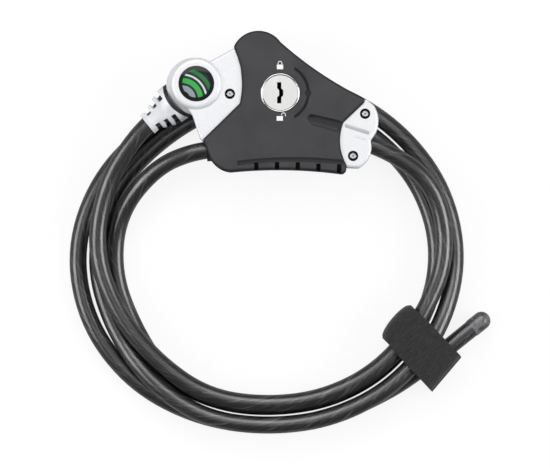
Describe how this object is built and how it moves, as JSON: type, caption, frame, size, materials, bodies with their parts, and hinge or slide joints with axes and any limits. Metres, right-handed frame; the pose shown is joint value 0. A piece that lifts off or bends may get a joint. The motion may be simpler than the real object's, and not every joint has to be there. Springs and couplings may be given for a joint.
{
  "type": "adjustable locking cable",
  "caption": "Keyed lock head with one end of a coated steel cable fixed in it and the coiled free end passed through its gripping passage, tied with a strap.",
  "frame": {"origin": "centre of the lock head's box, without the cable beyond its strain relief", "axes": "+X towards the outlet casting, +Y towards the top of the head, +Z out of the face with the keyway"},
  "size_m": [0.1959, 0.1844, 0.0321],
  "materials": {
    "housing": "fine matte grain",
    "casting": "satin silver paint",
    "zinc": "as cast",
    "badge": "glossy, domed",
    "steel": "plain",
    "hard_steel": "hardened",
    "relief": "soft moulded grey",
    "dark_rubber": "matte",
    "brass": "plain",
    "chrome": "polished",
    "nickel": "satin nickel",
    "screw": "zinc plated",
    "cable": "smoky vinyl over steel rope",
    "cap": "glossy black",
    "strap": "hook-and-loop tape"
  },
  "bodies": {
    "head": {"anchor_base": "casting", "anchor_cover": "casting", "anchor_screw": "screw", "badge": "badge", "cable_coil": "cable", "cable_end_cap": "cap", "cable_ferrule": "steel", "cable_first_loop": "cable", "cable_through_lock": "cable", "cylinder_bezel": "chrome", "cylinder_shell": "brass", "front_cover": "housing", "inlet_bush": "dark_rubber", "jaw_spring": "steel", "lock_body": "zinc", "outlet_base": "casting", "outlet_bush": "dark_rubber", "outlet_cover": "casting", "outlet_screw_1": "screw", "outlet_screw_2": "screw", "rear_cover": "housing", "rear_screw_1": "screw", "rear_screw_2": "screw", "rear_screw_3": "screw", "rear_screw_4": "screw", "relief_collar": "dark_rubber", "strain_relief": "relief", "strap": "strap", "threaded_inserts": "brass"},
    "plug": {"cylinder_plug": "nickel", "plug_clip": "steel", "plug_cam": "steel", "wafer_springs": "steel"},
    "jaw": {"locking_jaw": "hard_steel"},
    "wafer_1_body": {"wafer_1": "brass"},
    "wafer_2_body": {"wafer_2": "brass"},
    "wafer_3_body": {"wafer_3": "brass"},
    "wafer_4_body": {"wafer_4": "brass"},
    "wafer_5_body": {"wafer_5": "brass"}
  },
  "joints": [
    {"name": "plug_turn", "type": "hinge", "parent": "head", "child": "plug", "pos_m": [0.0096, 0.0044, 0], "axis": [0, 0, 1], "range_deg": [-90, 0]},
    {"name": "jaw_slide", "type": "slide", "parent": "head", "child": "jaw", "axis": [0, 1, 0], "range_m": [0, 0.002], "deforming": ["jaw_spring"]},
    {"name": "wafer_1_slide", "type": "slide", "parent": "plug", "child": "wafer_1_body", "axis": [0, 1, 0], "range_m": [0, 0.0008]},
    {"name": "wafer_2_slide", "type": "slide", "parent": "plug", "child": "wafer_2_body", "axis": [0, -1, 0], "range_m": [0, 0.0008]},
    {"name": "wafer_3_slide", "type": "slide", "parent": "plug", "child": "wafer_3_body", "axis": [0, 1, 0], "range_m": [0, 0.0008]},
    {"name": "wafer_4_slide", "type": "slide", "parent": "plug", "child": "wafer_4_body", "axis": [0, -1, 0], "range_m": [0, 0.0008]},
    {"name": "wafer_5_slide", "type": "slide", "parent": "plug", "child": "wafer_5_body", "axis": [0, 1, 0], "range_m": [0, 0.0008]}
  ],
  "couplings": [
    {"joint": "jaw_slide", "follows": "plug_turn", "m_per_rad": -0.0012732}
  ]
}
